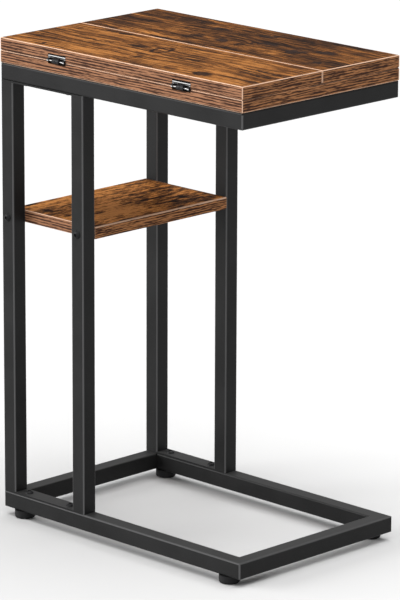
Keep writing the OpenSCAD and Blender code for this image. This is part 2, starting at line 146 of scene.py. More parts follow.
class FastenerSizes(bpy.types.PropertyGroup):
    """Sizes of the fasteners, as the nodes that they stand for have them"""
    bolt_d: length_prop("Bolt", "Thread diameter of the frame bolts and foot studs", 6.0)
    bolt_pitch: length_prop("Bolt pitch", "Pitch of the frame bolts and foot studs", 1.0)
    bolt_head_d: length_prop("Button head", "Diameter of a button head", 10.5)
    bolt_head_h: length_prop("Button height", "Height of a button head", 3.3)
    bolt_key: length_prop("Key", "Width across the flats of the key socket", 4.0)
    frame_bolt_l: length_prop("Frame bolt", "Length of the bolts of the frame", 12.0)
    shelf_bolt_l: length_prop("Shelf bolt", "Length of the bolts into the shelf", 33.0)
    board_screw_d: length_prop("Board screw", "Thread diameter of the board screws", 4.0)
    board_screw_pitch: length_prop("Board screw pitch", "Pitch of the board screws", 1.8)
    board_screw_l: length_prop("Board screw length", "Length under the head", 31.0)
    board_screw_head_d: length_prop("Pan head", "Diameter of a board screw's head", 8.0)
    hinge_screw_d: length_prop("Hinge screw", "Thread diameter of the hinge screws", 2.6)
    hinge_screw_pitch: length_prop("Hinge screw pitch", "Pitch of the hinge screws", 1.092)
    hinge_screw_l: length_prop("Hinge screw length", "Whole length of a hinge screw", 12.0)
    hinge_screw_head_d: length_prop("Countersunk head", "Diameter of a hinge screw's head", 5.2)
    tip_l: length_prop("Screw tip", "Length of a screw's point", 2.0)
    screw_from_post: length_prop("First board screw", "From the inner post to the first screw", 40.0)
    screw_from_end: length_prop("Last board screw", "From the open end to the last screw", 45.0)
    recess_w: length_prop("Cross recess", "Width of a cross recess's arms", 0.7)
    recess_depth: length_prop("Recess depth", "Depth of a cross recess", 1.0)
    disc_d: length_prop("Stud disc", "Diameter of the disc inside a foot pad", 11.0)
    disc_t: length_prop("Stud disc thickness", "Thickness of the disc inside a foot pad", 2.0)
    seed: IntProperty(name="Seed", description="How far each head is turned", default=7)

    def tree_values(self, inputs, length):
        """Values of a fastener tree's inputs, for fasteners of that length"""
        values = {name: getattr(self, setting) for name, setting in inputs.items()}
        return {**values, "Length": length, "Seed": self.seed}


class StageLook(bpy.types.PropertyGroup):
    """Floor, lights and camera"""
    floor: colour_prop("Floor", "Pale studio floor", (0.48, 0.48, 0.48))
    key: number_prop("Key light", "Broad light on the long side", 3.75)
    top: number_prop("Top light", "Soft light from above", 4.7)
    front: number_prop("Front light", "Weak light beside the camera", 0.8)
    back: number_prop("Back light", "Sheen on the upper faces", 0.05)
    sky: number_prop("Sky", "Even light of the studio walls", 0.25)
    azimuth: angle_prop("Azimuth", "Camera direction round the table", 44.88)
    elevation: angle_prop("Elevation", "Camera height over the table", 14.757)
    roll: angle_prop("Roll", "Camera turn about its own axis", 0.202)
    distance: length_prop("Distance", "From the camera to the middle of the table", 5000.0)
    focal_pixels: number_prop("Focal length", "In pixels of a 400 by 600 picture", 4210.0)
    aim_right: length_prop("Aim right", "How far right of the middle the camera aims", 3.3)
    aim_down: length_prop("Aim down", "How far below the middle the camera aims", 12.0)
    reach: length_prop("Floor reach", "From the middle of the floor to its edge", 14000.0)


class SideTableSettings(bpy.types.PropertyGroup):
    """All settings of the side table"""
    board: PointerProperty(type=BoardLook)
    metal: PointerProperty(type=MetalLook)
    fasteners: PointerProperty(type=FastenerSizes)
    stage: PointerProperty(type=StageLook)


def box_mm(node_name):
    """Lowest and highest corners of a node at rest, in mm"""
    return [[value / MM for value in point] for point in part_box(node_name)]


def middle(node_name):
    """Middle of a node's box, in metres"""
    low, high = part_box(node_name)
    return (Vector(low) + Vector(high)) / 2


def rgba(colour, lift=1.0):
    """The colour with its alpha, made lighter where lift is over 1"""
    return (*[channel * lift for channel in colour], 1.0)


def formula(operation):
    """A method that adds one math node to the value's bench"""
    return lambda value, *others: value.bench.math(operation, value, *others)


class Value:
    """What one node gives. Python's operators add the nodes of a formula"""
    __add__ = formula("ADD")
    __sub__ = formula("SUBTRACT")
    __mul__ = formula("MULTIPLY")
    __truediv__ = formula("DIVIDE")
    __abs__ = formula("ABSOLUTE")
    # 1 where the value is above a limit, and 0 elsewhere
    above = formula("GREATER_THAN")

    def __init__(self, bench, socket):
        self.bench = bench
        self.socket = socket

    def __neg__(self):
        return self * -1.0

    def __rsub__(self, other):
        return self.bench.math("SUBTRACT", other, self)

    def step(self, low, high, to_low=0.0, to_high=1.0):
        """Smooth step from low to high; it runs the other way where low is the larger"""
        if low > high:
            low, high, to_low, to_high = high, low, to_high, to_low
        return self.bench.value("ShaderNodeMapRange", self, low, high, to_low, to_high,
                                interpolation_type="SMOOTHSTEP")


class Bench:
    """Adds nodes to one tree. A node is fed with numbers, vectors, colours and other nodes' values"""

    def __init__(self, tree):
        self.tree = tree

    def feed(self, socket, value):
        if isinstance(value, Value):
            self.tree.links.new(value.socket, socket)
        elif value is not None:
            socket.default_value = value

    def node(self, kind, *values, **settings):
        made = self.tree.nodes.new(kind)
        for name, setting in settings.items():
            setattr(made, name, setting)
        sockets = [socket for socket in made.inputs if socket.enabled]
        for socket, value in zip(sockets, values):
            self.feed(socket, value)
        return made

    def output(self, node, name=None):
        """A node's output of that name, or else its first one in use"""
        return Value(self, node.outputs[name] if name else next(s for s in node.outputs if s.enabled))

    def value(self, kind, *values, **settings):
        return self.output(self.node(kind, *values, **settings))

    def declare(self, in_out, kind, *names):
        """Adds inputs or outputs of one kind to a node group"""
        for name in names:
            self.tree.interface.new_socket(name, in_out=in_out, socket_type=f"NodeSocket{kind}")

    def inputs(self):
        """Inputs of a node group by name"""
        return {socket.name: Value(self, socket) for socket in self.node("NodeGroupInput").outputs}

    def math(self, operation, *values):
        return self.value("ShaderNodeMath", *values, operation=operation)

    def vector(self, operation, *values):
        return self.value("ShaderNodeVectorMath", *values, operation=operation)

    def least(self, first, *others):
        for other in others:
            first = self.math("MINIMUM", first, other)
        return first

    def most(self, first, *others):
        for other in others:
            first = self.math("MAXIMUM", first, other)
        return first

    def parts(self, vector):
        """The x, y and z of a vector"""
        return [Value(self, socket) for socket in self.node("ShaderNodeSeparateXYZ", vector).outputs]

    def joined(self, x, y, z):
        return self.value("ShaderNodeCombineXYZ", x, y, z)

    def mix(self, share, first, second):
        return self.value("ShaderNodeMix", share, first, second, data_type="RGBA")

    def blend(self, share, first, second):
        return self.value("ShaderNodeMix", share, first, second, data_type="FLOAT")

    def noise(self, place, fineness, detail=2.0, roughness=0.5, distortion=0.0):
        """Noise over a place. Fineness is its features a unit, as one number or by x and y or x, y and z"""
        if isinstance(fineness, float):
            fineness = (fineness, fineness, fineness)
        elif len(fineness) == 2:
            fineness = (*fineness, 0.0)
        place = self.vector("MULTIPLY", place, fineness)
        return self.value("ShaderNodeTexNoise", place, 1.0, detail, roughness, 2.0, distortion)

    def bump(self, height, distance, strength=0.5):
        made = self.node("ShaderNodeBump", strength, distance * MM)
        self.feed(made.inputs["Height"], height)
        return self.output(made)


class Finish(Bench):
    """Bench of a new material, with its object coordinates in mm, its normals and its shader"""

    def __init__(self, name):
        self.material = bpy.data.materials.new(name)
        self.material.use_nodes = True
        super().__init__(self.material.node_tree)
        self.tree.nodes.clear()
        self.shader = self.node("ShaderNodeBsdfPrincipled")
        self.node("ShaderNodeOutputMaterial", self.output(self.shader))
        coordinates = self.node("ShaderNodeTexCoord")
        self.normal = self.output(coordinates, "Normal")
        self.place = self.vector("MULTIPLY", self.output(coordinates, "Object"), (1 / MM, 1 / MM, 1 / MM))

    def grain(self, *values):
        """Noise over the piece"""
        return self.noise(self.place, *values)

    def painted(self, values):
        """The material, with these values on its shader"""
        for name, value in values.items():
            self.feed(self.shader.inputs[name], value)
        return self.material


def powder_coat(look):
    """Satin black powder coat: orange peel, sparse specks, a painted highlight on the corners, and dust with
    a painted sheen on top
    """
    finish = Finish("powder coat")
    clouds = finish.grain(0.02, 3.0)
    specks = finish.grain(0.9, 0.0).step(0.72, 0.8)
    colour = finish.mix(clouds.step(0.3, 0.7), rgba(look.coat), rgba(look.coat, 1.35))
    colour = finish.mix(specks, colour, rgba(look.coat, 2.6))
    facing_up = finish.parts(finish.normal)[2]
    # Upper faces lighter: a little dust, and a painted sheen for the light from above
    dust_and_sheen = facing_up.step(0.6, 0.9) * clouds.step(0.2, 0.8, 0.75, 1.0)
    colour = finish.mix(dust_and_sheen, colour, rgba(look.dust))

    # Painted highlight on the rounded corners, which stands for the light that they catch: none under the
    # boards, which shade them, none on lower edges, and weaker on upper edges, of which only the outer ones
    # show
    corner = look.tube_corner / MM
    covered_z = box_mm("lower_board")[0][2] - corner
    outside_x, outside_y, _ = [value - corner for value in box_mm("leaf_far")[1]]
    x, y, z = finish.parts(finish.place)
    nx, ny, nz = finish.parts(finish.vector("ABSOLUTE", finish.normal))
    outer = finish.most(abs(x).step(outside_x - 0.2, outside_x + 0.2),
                        abs(y).step(outside_y - 0.2, outside_y + 0.2))
    highlight_facing = finish.most(outer * facing_up.step(0.1, 0.3, 0.0, 0.5), nz.step(0.3, 0.1))
    corner_highlight = finish.most(nx, ny, nz).step(0.99, 0.94) * z.step(covered_z, covered_z - 0.6) * highlight_facing
    return finish.painted({
        "Base Color": finish.mix(corner_highlight, colour, rgba(look.corner_highlight)),
        "Roughness": clouds.step(0.25, 0.75, 0.36, 0.46),
        "Specular IOR Level": 0.11,
        "Normal": finish.bump(finish.grain(MM / look.peel, 1.0, 0.6), 0.03),
    })


# The board group's colours, each of which is a setting of the board look: first those that the shelf's
# painted light makes lighter
PAINTED_LIGHT_COLOURS = ("Pale", "Middle", "Dark")
BOARD_COLOURS = (*PAINTED_LIGHT_COLOURS, "Black", "Stain", "Edge", "Edge Dark", "Worn", "Core")
# How far outside the board a painted edge shade that doesn't show lies, in mm
NO_EDGE_SHADE = 100.0
# The board group's other settings, for a board that has none of its own
BOARD_DEFAULTS = {
    # Darkness of the board's own marks
    "Marks": 0.0,
    # 1 where the grain runs along Y
    "Across": 0.0,
    # Strength of the saw marks across the grain
    "Saw": 0.0,
    # How much of the stain's colour the marks have
    "Stained": 0.15,
    # Shares of the worn width along the lower and upper edges
    "Low Edge": 0.6,
    "High Edge": 1.0,
    # Strength of the worn line along the upright edges
    "Upright Edge": 1.0,
    # How far outside the left and far edges their painted shade lies, a dark band on the upper face along
    # these edges: a rim of 0 or less shows
    "Left Rim": NO_EDGE_SHADE,
    "Far Rim": NO_EDGE_SHADE,
}
# How far apart two seeds' stretches of the pattern lie, on the faces and on the edges, in mm
FACE_SEED_STEP = 173.0
EDGE_SEED_STEP = 31.0


class BoardGroup(Bench):
    """Rustic board finish as a node group, for any board that lies flat, with its lengths in mm"""

    def __init__(self):
        super().__init__(bpy.data.node_groups.new("rustic board", "ShaderNodeTree"))
        self.declare("INPUT", "Vector", "Place", "Normal", "Low", "High")
        self.declare("INPUT", "Float", "Seed", "Tone", "Worn Width", "Skin", *BOARD_DEFAULTS)
        self.declare("INPUT", "Color", *BOARD_COLOURS)
        self.declare("OUTPUT", "Color", "Color")
        self.declare("OUTPUT", "Float", "Roughness", "Height")
        self.given = self.inputs()
        given, place = self.given, self.given["Place"]
        self.x, self.y, self.z = self.parts(place)
        # Distances from the low faces and from the high ones, along x, y and z
        self.over = self.parts(self.vector("SUBTRACT", place, given["Low"]))
        self.under = self.parts(self.vector("SUBTRACT", given["High"], place))
        self.nx, _, nz = self.parts(self.vector("ABSOLUTE", given["Normal"]))
        self.end_face = self.nx.above(0.7)
        flat = nz.above(0.8)

        dx, dy, self.dz = [self.least(low, high) for low, high in zip(self.over, self.under)]
        nearest = self.least(dx, dy, self.dz)
        second = dx + (dy + self.dz) - (nearest + self.most(dx, dy, self.dz))
        # Raw core inside holes, slots and notches, dark enough to stand also for their painted shade
        inner = nearest.above(given["Skin"])
        crumbs = self.noise(place, 0.8, 3.0, 0.7)
        core = self.mix(crumbs.step(0.35, 0.65, 0.0, 0.6), given["Core"], given["Black"])
        # Painted shade: a dark band on the upper face along the left and far edges
        rim = self.least(self.over[0] + given["Left Rim"], self.under[1] + given["Far Rim"])
        face, darkness, relief = self.face()
        surface = self.mix(flat, self.edge(), face)
        surface = self.mix(rim.step(2.4, 1.2, 0.0, 0.8) * flat, surface, given["Dark"])
        surface = self.mix(self.wear(second), surface, given["Worn"])
        made = self.node("NodeGroupOutput").inputs
        self.feed(made["Color"], self.mix(inner, surface, core))
        self.feed(made["Roughness"], darkness.step(0.0, 1.2, 0.52, 0.68) + inner * 0.25)
        self.feed(made["Height"], relief - crumbs * inner)

    def face(self):
        """Colour, darkness and relief of the upper and lower face"""
        given = self.given
        along = self.blend(given["Across"], self.x, self.y)
        aside = self.blend(given["Across"], self.y, self.x) + given["Seed"] * FACE_SEED_STEP
        grain = self.joined(along, aside, 0.0)
        wander = self.noise(grain, (0.008, 0.02), 2.0)
        bent = self.joined(along, aside + wander * 30.0, 0.0)
        tone = self.noise(grain, (0.007, 0.03), 3.0, 0.6)
        bands = self.noise(bent, (0.005, 0.14), 4.0, 0.7)
        lines = self.noise(bent, (0.008, 0.8), 2.0, 0.65)
        pores = self.noise(bent, (0.06, 2.2), 1.0)
        gashes = self.noise(bent, (0.014, 0.26), 3.0, 0.65, 0.4)
        strands = self.noise(bent, (0.009, 0.34), 2.0, 0.6)
        mottle = self.noise(grain, (0.05, 0.24), 3.0, 0.65)
        blotches = self.noise(grain, (0.03, 0.07), 4.0, 0.7)
        cuts = self.noise(grain, (0.45, 0.03), 2.0, 0.7)
        saw = cuts.step(0.4, 0.62, -0.5, 0.5) * (tone.step(0.42, 0.58) * given["Saw"])
        darkness = (tone.step(0.3, 0.7, -0.2, 0.32) + bands.step(0.38, 0.62, 0.0, 0.4)
                    + strands.step(0.44, 0.6, -0.1, 0.34) + mottle.step(0.38, 0.62, -0.13, 0.17)
                    + lines.step(0.34, 0.66, -0.2, 0.3) + pores.step(0.58, 0.7, 0.0, 0.3)
                    + gashes.step(0.58, 0.66, 0.0, 0.4) + blotches.step(0.54, 0.7, 0.0, 0.4)
                    + given["Marks"] + saw + given["Tone"])
        colour = self.mix(darkness.step(0.0, 0.45), given["Pale"], given["Middle"])
        colour = self.mix(darkness.step(0.4, 0.85), colour, given["Dark"])
        colour = self.mix(darkness.step(0.85, 1.3), colour, given["Black"])
        stained = (given["Marks"] - mottle.step(0.35, 0.6, 0.0, 0.5)).step(0.0, 0.6)
        colour = self.mix(stained * given["Stained"], colour, given["Stain"])
        relief = lines * 0.4 + pores * 0.6 - gashes.step(0.6, 0.72, 0.0, 0.8)
        return colour, darkness, relief

    def edge(self):
        """Colour of the edge faces: dark dashes that lie along the edge, coarser on the ends.
        The third coordinate of their place parts the ends' pattern from the long edges'"""
        given, end_face, z = self.given, self.end_face, self.z
        along = self.blend(end_face, self.x, self.y) + given["Seed"] * EDGE_SEED_STEP
        swell = self.noise(self.joined(along, end_face, 0.0), (0.022, 1.0), 1.0)
        swell = (swell - 0.5) * self.blend(end_face, 1.2, 3.5)
        place = self.joined(along * self.blend(end_face, 1.0, 1.2), z + swell, end_face)
        drift = self.noise(place, (0.014, 0.16, 9.0), 2.0, 0.6)
        waves = drift * self.blend(end_face, 1.1, 1.9)
        phase = z * self.blend(end_face, 0.31, 0.34) + waves
        layer = self.math("SINE", phase * (2 * math.pi))
        dash = self.noise(place, (0.017, 0.4, 9.0), 2.0, 0.6)
        stroke = self.noise(place, (0.018, 0.7, 5.0), 1.0)
        fleck = self.noise(place, (0.1, 1.1, 9.0), 1.0)
        tone = self.noise(place, (0.02, 0.12, 9.0), 2.0)
        darkness = (layer.step(-0.5, 0.6) * dash.step(0.38, 0.54, 0.05, 0.95)
                    + stroke.step(0.5, 0.6, 0.0, 0.45) + fleck.step(0.36, 0.64, -0.2, 0.3)
                    + tone.step(0.35, 0.65, -0.1, 0.14) + end_face * 0.1)
        light = self.mix(end_face, given["Edge"], self.mix(0.4, given["Edge"], given["Pale"]))
        return self.mix(darkness.step(0.0, 0.9), light, given["Edge Dark"])

    def wear(self, second):
        """Share of the pale line where two faces meet: second is the distance to the second nearest face"""
        given = self.given
        ragged = self.noise(given["Place"], 0.12, 3.0, 0.7)
        level = self.blend(self.over[2].above(self.under[2]), given["Low Edge"], given["High Edge"])
        level = self.blend(self.end_face, self.least(level, 1.0), level)
        upright = self.dz.above(second)
        reach = given["Worn Width"] * self.blend(upright, level, 1.0) * ragged.step(0.25, 0.6, 0.85, 1.2)
        nicked = second / self.most(reach, 0.01)
        worn = nicked.step(1.0, 0.8) * ragged.step(0.22, 0.4, 0.7, 1.0)
        faded = self.most(upright, level.step(0.93, 1.0, 0.15, 1.0))
        faded = self.blend(self.nx.above(0.5), 1.0, faded)
        return worn * (faded * self.blend(upright, 1.0, given["Upright Edge"]))


# Half height of a spot's ellipsoid, so tall that it is the same at any height of a board, in mm
SPOT_HEIGHT = 10000.0
# Spots on a board's face, each listed: the x and y of its centre and its half sizes in mm,
# its turn in degrees, and its depth, which is below 0 where the wood is paler
NEAR_LEAF_SPOTS = (
    # Dark lines of the grain
    (-105, -60, 44, 3.2, 3, 0.8), (45, -66, 34, 3.5, 4, 0.6), (156, -54, 44, 3, -5, 0.75),
    (150, -64, 38, 2.8, -7, 0.6), (160, -74, 38, 2.8, -4, 0.55), (-150, -86, 46, 2, 2, 0.45),
    (-110, -76, 60, 2, 3, 0.4),
    # Patches
    (-48, -50, 23, 8, 8, 0.7), (48, -48, 28, 9, 0, 0.3), (67, -110, 18, 8, -5, 0.6),
    (117, -111, 19, 11, -6, 0.75), (-5, -97, 6, 7, 0, 0.75), (-8, -86, 13, 3, -8, 0.5),
    (-138, -116, 6, 5, 0, 0.65), (-110, -11, 12, 5, 0, 0.85), (-135, -9, 18, 5, 0, 0.5),
    # Paler wood
    (140, -92, 58, 9, -4, -0.3), (110, -30, 66, 11, -3, -0.35), (-60, -105, 60, 14, 3, -0.25),
)
FAR_LEAF_SPOTS = (
    # Stains
    (-54, 94, 16, 8, 0, 0.75), (14, 100, 20, 6, 0, 0.7), (-30, 84, 70, 9, 0, 0.25),
    (50, 64, 22, 8, 0, 0.6), (102, 56, 18, 13, 0, 0.7), (135, 77, 21, 11, 0, 0.75),
    (-5, 42, 14, 10, 0, 0.7), (-45, 45, 15, 14, 0, 0.5), (27, 42, 9, 10, 0, 0.5),
    (162, 25, 11, 10, 0, 0.65), (-143, 71, 14, 9, 0, 0.4), (-110, 112, 50, 8, 0, 0.3),
    (80, 70, 60, 22, 0, 0.25),
    # Paler wood
    (-100, 16, 80, 10, 0, -0.35), (80, 34, 30, 9, 0, -0.3), (-90, 62, 22, 20, 0, -0.15),
)
SHELF_SPOTS = (
    # Small knots
    (-145, 38, 7, 9, 0, 0.8), (-134, 84, 9, 8, 0, 0.8), (-96, 74, 8, 12, 0, 0.6),
    (-90, 48, 7, 12, 0, 0.55), (-93, 26, 6, 10, 0, 0.4), (-196, -88, 8, 14, 0, 0.6),
    (-160, -93, 16, 5, 0, 0.45), (-130, -91, 14, 5, 0, 0.45), (-108, -56, 5, 15, 0, 0.7),
    (-122, 2, 4, 13, 0, 0.6), (-152, -12, 4, 16, 0, 0.5), (-84, 74, 30, 56, 0, 0.3),
    # Paler wood
    (-180, -40, 28, 90, 0, -0.5), (-172, 50, 30, 60, 0, -0.35), (-105, -16, 34, 40, 0, -0.3),
    (-120, -42, 40, 48, 0, -0.35), (-80, -30, 24, 80, 0, -0.35),
)


def soft_ellipse(finish, place, centre, half, turn=0.0, edge=0.45):
    """Share from 0 outside to 1 inside of an ellipse on the board's face, in mm and turned by degrees"""
    mapped = finish.value("ShaderNodeMapping", place, (*centre, 0.0), (0.0, 0.0, math.radians(turn)),
                          (*half, SPOT_HEIGHT), vector_type="TEXTURE")
    return finish.vector("LENGTH", mapped).step(1.0, edge)


def ragged_place(finish, fineness, detail, roughness, amount):
    """The place pushed about by noise, up to half the amount in mm, for spots with ragged outlines"""
    shift = (finish.grain(fineness, detail, roughness) - 0.5) * amount
    return finish.vector("ADD", finish.place, finish.joined(shift, shift, 0.0))


def spotted(finish, place, spots, marks=0.0):
    """Marks with the spots added"""
    for x, y, half_x, half_y, turn, depth in spots:
        marks = soft_ellipse(finish, place, (x, y), (half_x, half_y), turn) * depth + marks
    return marks


def near_leaf_marks(finish):
    """Ring-shaped knot, dark grain lines and patches of the near leaf"""
    steady = ragged_place(finish, (0.05, 0.08), 3.0, 0.65, 6.4)
    knot = (-11, -48)
    ring = soft_ellipse(finish, steady, knot, (14, 19), edge=0.8)
    heart = soft_ellipse(finish, steady, knot, (9.5, 14), edge=0.7)
    loose = ragged_place(finish, (0.05, 0.08), 3.0, 0.65, 16.0)
    return spotted(finish, loose, NEAR_LEAF_SPOTS, (ring - heart) * 0.8)


def far_leaf_marks(finish):
    """Purple-grey stains of the far leaf"""
    return spotted(finish, ragged_place(finish, (0.045, 0.06), 4.0, 0.7, 44.0), FAR_LEAF_SPOTS)


def shelf_marks(finish):
    """Small dark knots of the shelf, on mottled wood"""
    mottled = finish.grain((0.16, 0.045), 4.0, 0.7).step(0.36, 0.64, -0.35, 0.4)
    specks = finish.grain((0.4, 0.11), 3.0, 0.6).step(0.38, 0.62, -0.22, 0.3)
    ragged = ragged_place(finish, (0.07, 0.05), 3.0, 0.65, 18.0)
    return spotted(finish, ragged, SHELF_SPOTS, mottled + specks)


# Each board's marks, and its settings of the board group: the seed picks a stretch of the pattern, and the
# tone is added to the faces' darkness. The leaves cover the lower board, which has no marks
BOARDS = {
    "leaf_near": (near_leaf_marks, {"Seed": 1.0, "Tone": 0.05, "Low Edge": 0.35, "Left Rim": 0.0}),
    "leaf_far": (far_leaf_marks, {"Seed": 2.0, "Tone": 0.34, "Saw": 0.22, "Stained": 0.5, "Low Edge": 0.35,
                                  "Left Rim": 0.0, "Far Rim": 0.0}),
    "lower_board": (None, {"Seed": 3.0, "Tone": 0.12, "Low Edge": 1.1, "High Edge": 0.92}),
    "shelf": (shelf_marks, {"Across": 1.0, "Seed": 4.0, "Tone": 0.03, "Stained": 0.0, "High Edge": 1.9,
                            "Upright Edge": 0.2, "Far Rim": -2.5}),
}


def board_material(node_name, look, group):
    """Finish of one board"""
    finish = Finish(f"rustic board {node_name}")
    marks, settings = BOARDS[node_name]
    low, high = box_mm(node_name)
    values = {**BOARD_DEFAULTS, **settings, "Place": finish.place, "Normal": finish.normal, "Low": low,
              "High": high, "Worn Width": look.worn_width / MM, "Skin": look.skin / MM}
    if marks:
        values["Marks"] = marks(finish)
    # Painted light on the shelf: its colours are lightened to make up for the top's shade
    lift = look.shelf_lift if node_name == "shelf" else 1.0
    for name in BOARD_COLOURS:
        colour = getattr(look, name.lower().replace(" ", "_"))
        values[name] = rgba(colour, lift if name in PAINTED_LIGHT_COLOURS else 1.0)
    made = finish.node("ShaderNodeGroup", node_tree=group.tree)
    for name, value in values.items():
        finish.feed(made.inputs[name], value)
    return finish.painted({
        "Base Color": finish.output(made, "Color"),
        "Roughness": finish.output(made, "Roughness"),
        "Specular IOR Level": 0.03,
        "Normal": finish.bump(finish.output(made, "Height"), 0.12, 0.6),
    })


def blackened(finish, look):
    """Shader values of blackened steel with small scratches"""
    mottle = finish.grain(0.35, 3.0, 0.6)
    scratch = finish.grain((0.25, 0.25, 3.0), 2.0, 0.6, 0.3).step(0.68, 0.78, 0.0, 0.12)
    colour = finish.mix(mottle.step(0.3, 0.7), rgba(look.oxide), rgba(look.oxide, 1.8))
    return {
        "Base Color": finish.mix(scratch, colour, rgba(look.bright)),
        "Metallic": scratch,
        "Roughness": mottle.step(0.3, 0.7, 0.36, 0.5),
        "Specular IOR Level": 0.12,
        "Normal": finish.bump(mottle, 0.02),
    }


def black_oxide(look, name):
    """Black oxide of bolts and grub screws"""
    finish = Finish(name)
    return finish.painted(blackened(finish, look))


def hinge_steel(look, name, with_upper_highlights):
    """Black oxide with thin painted highlights on the outward faces: along the pins' axis, and on the arms
    also above it
    """
    finish = Finish(name)
    values = blackened(finish, look)
    x, _, z = finish.parts(finish.place)
    beside = abs(abs(x) - middle("hinge_arm_near_right").x / MM).above(look.knuckle / 2 / MM)
    level = z - middle("hinge_pin_near_right").z / MM
    # Painted highlights: thin pale lines on the outward faces that stand for light caught by the hinge's
    # edges and pins
    lines = abs(level).step(0.5, 0.3) * beside
    if with_upper_highlights:
        faint = abs(level - look.second_line / MM).step(0.6, 0.3, 0.0, 0.4) * beside
        upper = abs(z - (box_mm("hinge_arm_near_right")[1][2] - look.upper_line / MM)).step(0.5, 0.3)
        lines = finish.most(lines, faint, upper)
    outward = abs(finish.parts(finish.normal)[1]).step(0.6, 0.8)
    lines = lines * outward
    values["Base Color"] = finish.mix(lines, values["Base Color"], rgba(look.bright, 1.05))
    values["Metallic"] = lines * 0.3
    return finish.painted(values)


def zinc_plate(look):
    """Zinc plate with a cloudy blue and yellow cast"""
    finish = Finish("zinc plate")
    clouds = finish.grain(0.2, 3.0, 0.6)
    red, green, blue = look.zinc
    cast = rgba((red * 1.08, green, blue * 0.84))
    return finish.painted({
        "Base Color": finish.mix(clouds.step(0.4, 0.7), rgba(look.zinc), cast),
        "Metallic": 1.0,
        "Roughness": clouds.step(0.3, 0.7, 0.3, 0.45),
        "Normal": finish.bump(finish.grain(3.0, 1.0), 0.01),
    })


def moulded_rubber(look):
    """Matt black rubber with a fine moulded texture and a little dust"""
    finish = Finish("moulded rubber")
    dust = finish.grain(0.12, 4.0, 0.7)
    return finish.painted({
        "Base Color": finish.mix(dust.step(0.45, 0.8, 0.0, 0.6), rgba(look.rubber), rgba(look.rubber, 1.8)),
        "Roughness": dust.step(0.3, 0.8, 0.5, 0.72),
        "Specular IOR Level": 0.15,
        "Normal": finish.bump(finish.grain(2.2, 2.0, 0.6), 0.03),
    })


def linked(name, data):
    """A new object in the scene"""
    made = bpy.data.objects.new(name, data)
    bpy.context.scene.collection.objects.link(made)
    return made


def dress(names, material):
    """Gives CAD nodes their finish"""
    for name in names:
        slots = NODES[name].data.materials
        if len(slots):
            slots[0] = material
        else:
            slots.append(material)


# Inputs of the fastener trees beside the length, with the settings that they come from
BOLT_THREAD = {"Thread": "bolt_d", "Pitch": "bolt_pitch"}
BUTTON_BOLT = {**BOLT_THREAD, "Head Diameter": "bolt_head_d", "Head Height": "bolt_head_h", "Key": "bolt_key"}
LEVELLING_STUD = {**BOLT_THREAD, "Disc Diameter": "disc_d", "Disc Thickness": "disc_t"}
PAN_SCREW, COUNTERSUNK_SCREW = [
    {"Thread": f"{screw}_d", "Pitch": f"{screw}_pitch", "Head Diameter": f"{screw}_head_d", "Tip": "tip_l",
     "Recess Width": "recess_w", "Recess Depth": "recess_depth"} for screw in ("board_screw", "hinge_screw")]


